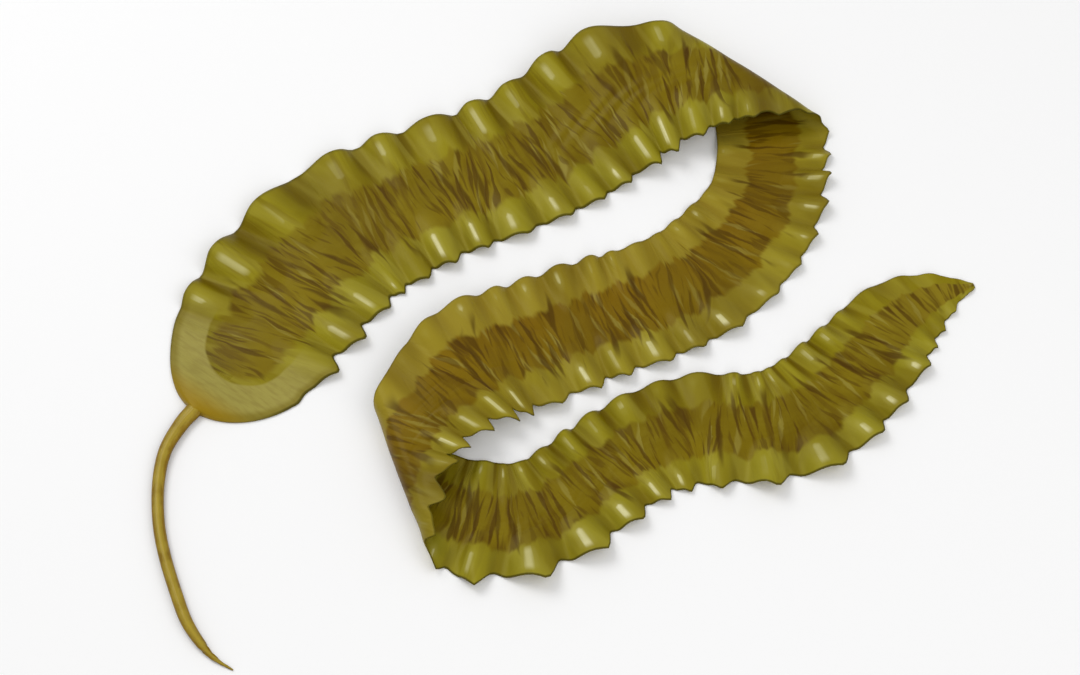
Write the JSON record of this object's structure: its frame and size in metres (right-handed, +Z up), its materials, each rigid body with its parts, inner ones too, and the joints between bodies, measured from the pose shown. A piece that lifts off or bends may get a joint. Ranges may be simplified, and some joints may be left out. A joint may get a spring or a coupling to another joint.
{
  "type": "kelp frond",
  "caption": "Cut kelp frond lying flat: one long strap blade with a dark median band and ruffled margins, folded over on itself twice, on a short bent stalk.",
  "frame": {"origin": "on the surface that the frond lies on, under the middle of its outline", "axes": "+Z up from the surface, +X from the stipe's side of the frond to the blade's tip, +Y from the stipe's cut end towards the first fold"},
  "size_m": [0.8225, 0.7403, 0.0417],
  "materials": {
    "stipe": "smooth firm wet stalk, golden brown, glossy",
    "blade": "leathery wet blade, brown median, olive margins, glossy"
  },
  "bodies": {
    "root": {"stipe": "stipe", "blade": "blade"}
  },
  "joints": []
}
